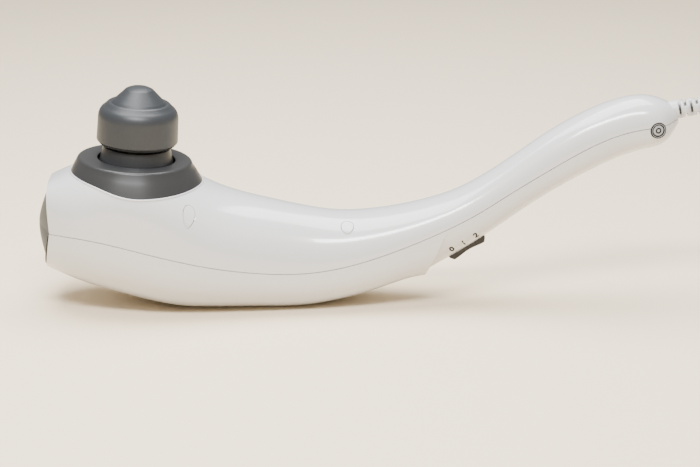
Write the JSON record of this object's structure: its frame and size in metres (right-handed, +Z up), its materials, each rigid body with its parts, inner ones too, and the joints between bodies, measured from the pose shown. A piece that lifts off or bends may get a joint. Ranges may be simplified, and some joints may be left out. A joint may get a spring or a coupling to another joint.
{
  "type": "handheld wand massager",
  "caption": "Corded percussion massager with a humped drive housing, a long rising handle, a pull-off massage head on a sliding neck, a slide switch and a mains lead.",
  "frame": {"origin": "centre of the bounding box of the massager without its lead, strain relief and plug, at the height of the flat on its belly", "axes": "+X from the front cap along the body to the tail where the lead leaves, +Y across the body, +Z up, towards the massage head"},
  "size_m": [0.6002, 0.0935, 0.1427],
  "materials": {
    "white_plastic": "glossy moulded",
    "grey_plastic": "satin moulded",
    "cap_plastic": "polished",
    "dark_plastic": "fine matte",
    "black_nylon": "moulded nylon",
    "steel": "ground",
    "zinc": "zinc plated or die cast",
    "bronze": "sintered bronze",
    "brass": "bright",
    "copper": "varnished winding wire",
    "ferrite": "sintered",
    "carbon": "pressed carbon",
    "rubber": "soft",
    "silver_foil": "spun metal",
    "board": "printed board",
    "red_wire": "wire insulation",
    "black_wire": "wire insulation",
    "brown_wire": "wire insulation",
    "blue_wire": "wire insulation and capacitor sleeve",
    "white_vinyl": "soft vinyl"
  },
  "bodies": {
    "body": {"badge_disc": "silver_foil", "badge_ring": "dark_plastic", "capacitor": "blue_wire", "case_screw_1": "zinc", "case_screw_2": "zinc", "case_screw_3": "zinc", "case_screw_4": "zinc", "circuit_board": "board", "clamp_screw_1": "zinc", "clamp_screw_2": "zinc", "collar": "grey_plastic", "cord_clamp": "black_nylon", "cord_coil": "white_vinyl", "drive_frame": "zinc", "front_cap": "cap_plastic", "guide_bush": "bronze", "lower_shell": "white_plastic", "mains_cord": "white_vinyl", "mains_lead_blue": "blue_wire", "mains_lead_brown": "brown_wire", "mains_plug": "white_vinyl", "motor_brush_1": "carbon", "motor_brush_2": "carbon", "motor_can": "steel", "motor_end_bell": "black_nylon", "motor_lead_black": "black_wire", "motor_lead_red": "red_wire", "motor_magnet_1": "ferrite", "motor_magnet_2": "ferrite", "motor_screw_1": "zinc", "motor_screw_2": "zinc", "plug_pin_1": "brass", "plug_pin_2": "brass", "rubber_mount_1": "rubber", "rubber_mount_2": "rubber", "rubber_mount_3": "rubber", "rubber_mount_4": "rubber", "screw_plug_1": "white_plastic", "screw_plug_2": "white_plastic", "screw_plug_3": "white_plastic", "screw_plug_4": "white_plastic", "strain_relief": "white_vinyl", "switch_bezel": "dark_plastic", "switch_body": "dark_plastic", "upper_shell": "white_plastic"},
    "plunger": {"plunger_yoke": "black_nylon", "neck_sleeve": "grey_plastic", "head_o_ring": "rubber", "spigot_screw": "zinc"},
    "head": {"massage_head": "grey_plastic"},
    "drive_shaft": {"motor_shaft": "steel", "rotor_core": "steel", "rotor_windings": "copper", "commutator": "copper", "eccentric": "zinc", "bearing_inner_ring": "steel"},
    "bearing_outer": {"bearing_outer_ring": "steel", "bearing_balls": "steel"},
    "switch_slider": {"switch_knob": "grey_plastic"}
  },
  "joints": [
    {"name": "plunger_stroke", "type": "slide", "parent": "body", "child": "plunger", "axis": [0.0698, 0, 0.9976], "range_m": [-0.002, 0.002]},
    {"name": "head_pull_off", "type": "slide", "parent": "plunger", "child": "head", "axis": [0.0698, 0, 0.9976], "range_m": [0, 0.03]},
    {"name": "motor_spin", "type": "hinge", "parent": "body", "child": "drive_shaft", "pos_m": [-0.14367, 0, 0.04163], "axis": [0.9976, 0, -0.0698], "continuous": true},
    {"name": "bearing_spin", "type": "hinge", "parent": "drive_shaft", "child": "bearing_outer", "pos_m": [-0.14367, 0.002, 0.04163], "axis": [0.9976, 0, -0.0698], "continuous": true},
    {"name": "switch_slide", "type": "slide", "parent": "body", "child": "switch_slider", "axis": [0.8453, 0, 0.5344], "range_m": [-0.0055, 0.0055]}
  ]
}
